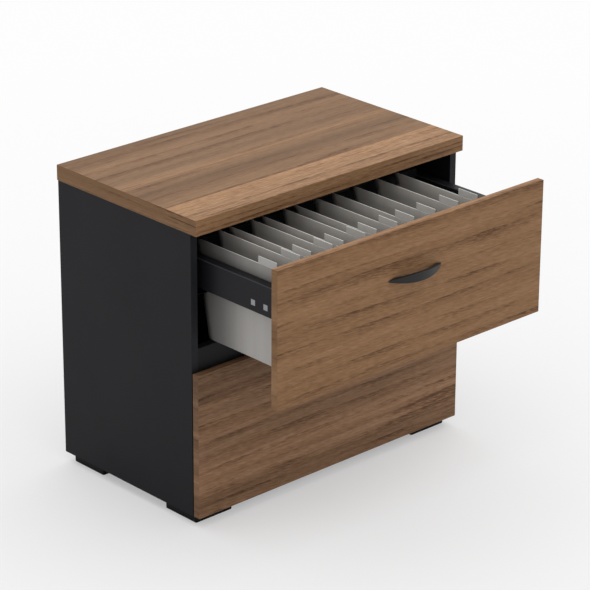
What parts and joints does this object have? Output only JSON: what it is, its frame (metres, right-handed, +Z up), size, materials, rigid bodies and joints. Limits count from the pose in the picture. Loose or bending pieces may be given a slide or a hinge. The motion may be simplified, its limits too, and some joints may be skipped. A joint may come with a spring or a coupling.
{
  "type": "filing cabinet",
  "caption": "Low lateral filing cabinet with a wood top and wood drawer fronts on a dark case, hanging file drawers on telescopic runners and bow handles.",
  "frame": {"origin": "on the floor, at the middle of the object's box with the upper drawer drawn out as stored: centred across the width, and midway from the top's back edge to the open drawer's handle", "axes": "+X to the right of someone facing the drawer fronts, +Y to the back, +Z up"},
  "size_m": [0.8, 0.742, 0.72],
  "materials": {
    "walnut": "satin walnut-pattern veneer with the grain along the width",
    "anthracite_board": "matt anthracite melamine on chipboard",
    "black_plastic": "matt black moulded plastic",
    "black_handle": "satin dark anthracite lacquer on die-cast metal",
    "dark_steel": "anthracite powder coat on sheet steel",
    "zinc_steel": "zinc-plated sheet steel",
    "screw_steel": "zinc-plated",
    "beech_dowel": "raw fluted beech",
    "grey_plastic": "light grey moulded plastic",
    "clear_rubber": "soft clear bumper",
    "file_card": "light grey uncoated card",
    "file_bar": "light grey lacquer on steel strip",
    "tab_plastic": "light grey frosted plastic"
  },
  "bodies": {
    "case": {"top_panel": "walnut", "side_panel_left": "anthracite_board", "side_panel_right": "anthracite_board", "bottom_panel": "anthracite_board", "back_panel": "anthracite_board", "middle_rail": "anthracite_board", "top_front_stretcher": "anthracite_board", "top_rear_stretcher": "anthracite_board", "foot_front_left": "black_plastic", "foot_front_right": "black_plastic", "foot_rear_left": "black_plastic", "foot_rear_right": "black_plastic", "foot_screws": "screw_steel", "case_dowels": "beech_dowel", "cam_fittings": "screw_steel", "top_panel_screws": "screw_steel", "back_panel_screws": "screw_steel", "upper_case_runner_left": "zinc_steel", "upper_case_runner_right": "zinc_steel", "lower_case_runner_left": "zinc_steel", "lower_case_runner_right": "zinc_steel", "runner_screws": "screw_steel"},
    "upper_drawer": {"upper_front": "walnut", "upper_handle": "black_handle", "upper_front_screws": "screw_steel", "upper_drawer_side_left": "dark_steel", "upper_drawer_side_right": "dark_steel", "upper_drawer_back": "dark_steel", "upper_file_rail_front": "dark_steel", "upper_file_rail_rear": "dark_steel", "upper_drawer_runners": "zinc_steel", "upper_front_adjusters": "grey_plastic", "upper_bumpers": "clear_rubber"},
    "upper_runner": {"upper_middle_runners": "zinc_steel"},
    "lower_drawer": {"lower_front": "walnut", "lower_handle": "black_handle", "lower_front_screws": "screw_steel", "lower_drawer_side_left": "dark_steel", "lower_drawer_side_right": "dark_steel", "lower_drawer_back": "dark_steel", "lower_file_rail_front": "dark_steel", "lower_file_rail_rear": "dark_steel", "lower_drawer_runners": "zinc_steel", "lower_front_adjusters": "grey_plastic", "lower_bumpers": "clear_rubber"},
    "lower_runner": {"lower_middle_runners": "zinc_steel"},
    "hanging_files": {"hanging_file_01": "file_card", "hanging_file_02": "file_card", "hanging_file_03": "file_card", "hanging_file_04": "file_card", "hanging_file_05": "file_card", "hanging_file_06": "file_card", "hanging_file_07": "file_card", "hanging_file_08": "file_card", "hanging_file_09": "file_card", "hanging_file_10": "file_card", "hanging_file_11": "file_card", "hanging_file_12": "file_card", "hanging_bars": "file_bar", "index_tabs": "tab_plastic"}
  },
  "joints": [
    {"name": "upper_drawer_slide", "type": "slide", "parent": "case", "child": "upper_drawer", "axis": [0, -1, 0], "range_m": [-0.249, 0.131]},
    {"name": "upper_runner_slide", "type": "slide", "parent": "case", "child": "upper_runner", "axis": [0, -1, 0], "range_m": [-0.1245, 0.0655]},
    {"name": "lower_drawer_slide", "type": "slide", "parent": "case", "child": "lower_drawer", "axis": [0, -1, 0], "range_m": [0, 0.38]},
    {"name": "lower_runner_slide", "type": "slide", "parent": "case", "child": "lower_runner", "axis": [0, -1, 0], "range_m": [0, 0.19]},
    {"name": "files_slide", "type": "slide", "parent": "upper_drawer", "child": "hanging_files", "axis": [1, 0, 0], "range_m": [-0.003, 0.07]}
  ],
  "couplings": [
    {"joint": "upper_runner_slide", "follows": "upper_drawer_slide", "ratio": 0.5},
    {"joint": "lower_runner_slide", "follows": "lower_drawer_slide", "ratio": 0.5}
  ]
}
